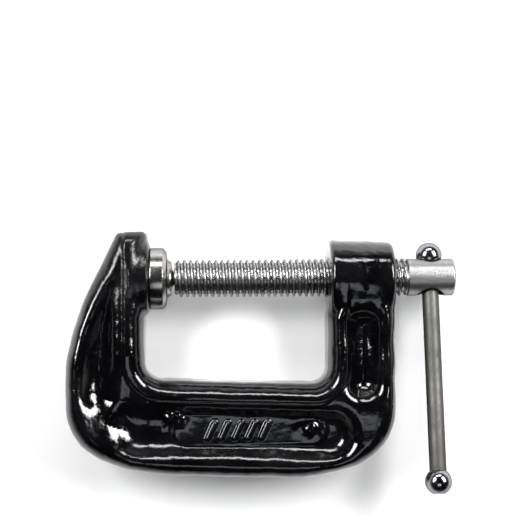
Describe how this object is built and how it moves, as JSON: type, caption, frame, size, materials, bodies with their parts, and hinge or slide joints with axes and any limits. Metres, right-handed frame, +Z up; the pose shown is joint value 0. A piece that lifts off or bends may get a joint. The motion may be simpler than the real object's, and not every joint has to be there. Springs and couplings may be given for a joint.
{
  "type": "c clamp",
  "caption": "Small C-clamp: black enamelled cast frame, right-hand screw with a swivel pad, and a sliding T-handle with ball ends.",
  "frame": {"origin": "the clamp lies on its side: middle of the whole clamp's box in X and Y, at the level of the surface that the threaded boss rests on", "axes": "+X along the screw from the anvil towards the screw's head, +Y from the spine out of the throat, +Z up across the frame's thickness; jaws closed at rest"},
  "size_m": [0.0618, 0.0412, 0.0145],
  "materials": {
    "black_enamel": "glossy enamel over a rough iron casting",
    "plated_screw": "bright plated steel, turned",
    "polished_pad": "turned and plated",
    "plain_steel_bar": "dull drawn steel",
    "chromed_ball": "mirror"
  },
  "bodies": {
    "frame": {"frame_casting": "black_enamel"},
    "pad": {"swivel_pad": "polished_pad"},
    "screw": {"clamp_screw": "plated_screw"},
    "handle": {"handle_bar": "plain_steel_bar", "handle_ball_seated": "chromed_ball", "handle_ball_free": "chromed_ball"}
  },
  "joints": [
    {"name": "screw_travel", "type": "slide", "parent": "frame", "child": "pad", "axis": [1, 0, 0], "range_m": [0, 0.025]},
    {"name": "screw_turn", "type": "hinge", "parent": "pad", "child": "screw", "pos_m": [0, 0.01332, 0.0062], "axis": [1, 0, 0], "range_deg": [0, 9000]},
    {"name": "handle_slide", "type": "slide", "parent": "screw", "child": "handle", "axis": [0, 0.9816, -0.1908], "range_m": [0, 0.02888]}
  ],
  "couplings": [
    {"joint": "screw_travel", "follows": "screw_turn", "m_per_rad": 0.00015915}
  ]
}
